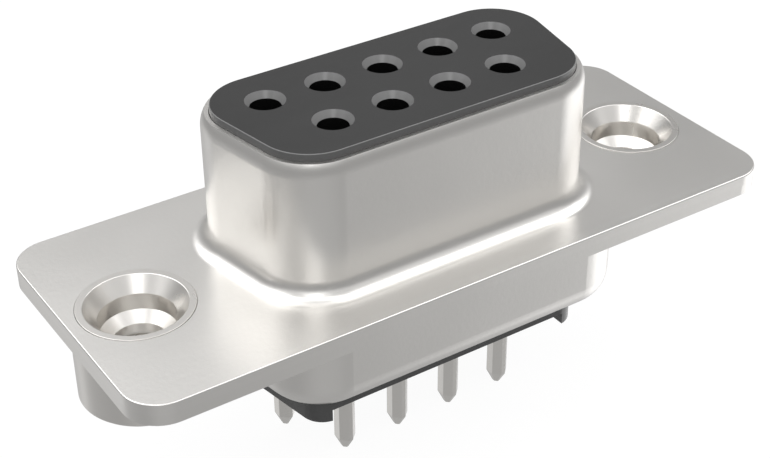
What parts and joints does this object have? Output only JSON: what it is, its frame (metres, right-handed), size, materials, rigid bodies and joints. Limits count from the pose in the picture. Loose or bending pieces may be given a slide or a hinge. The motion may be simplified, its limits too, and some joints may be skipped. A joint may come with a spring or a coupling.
{
  "type": "multi-pin connector",
  "caption": "Board-mounted socket connector with a D-shaped metal hood on a flat flange, threaded bushes at its ends and bevelled solder tails.",
  "frame": {"origin": "centre of the hood in the plane of the flange's front face, midway between the two screw holes", "axes": "+Z is the mating direction, X runs along the flange, and the row of four contacts lies on the -Y side"},
  "size_m": [0.0308, 0.0126, 0.0165],
  "materials": {
    "shell_front": "satin tin plate",
    "shell_rear": "satin tin plate",
    "insulator_front": "moulded, glass filled",
    "insulator_rear": "moulded, glass filled",
    "contact": "bright tin plate on copper alloy",
    "insert": "turned, nickel plated"
  },
  "bodies": {
    "root": {"contact_1": "contact", "contact_2": "contact", "contact_3": "contact", "contact_4": "contact", "contact_5": "contact", "contact_6": "contact", "contact_7": "contact", "contact_8": "contact", "contact_9": "contact", "front_insulator": "insulator_front", "front_shell": "shell_front", "insert_left": "insert", "insert_right": "insert", "rear_insulator": "insulator_rear", "rear_shell": "shell_rear"}
  },
  "joints": []
}
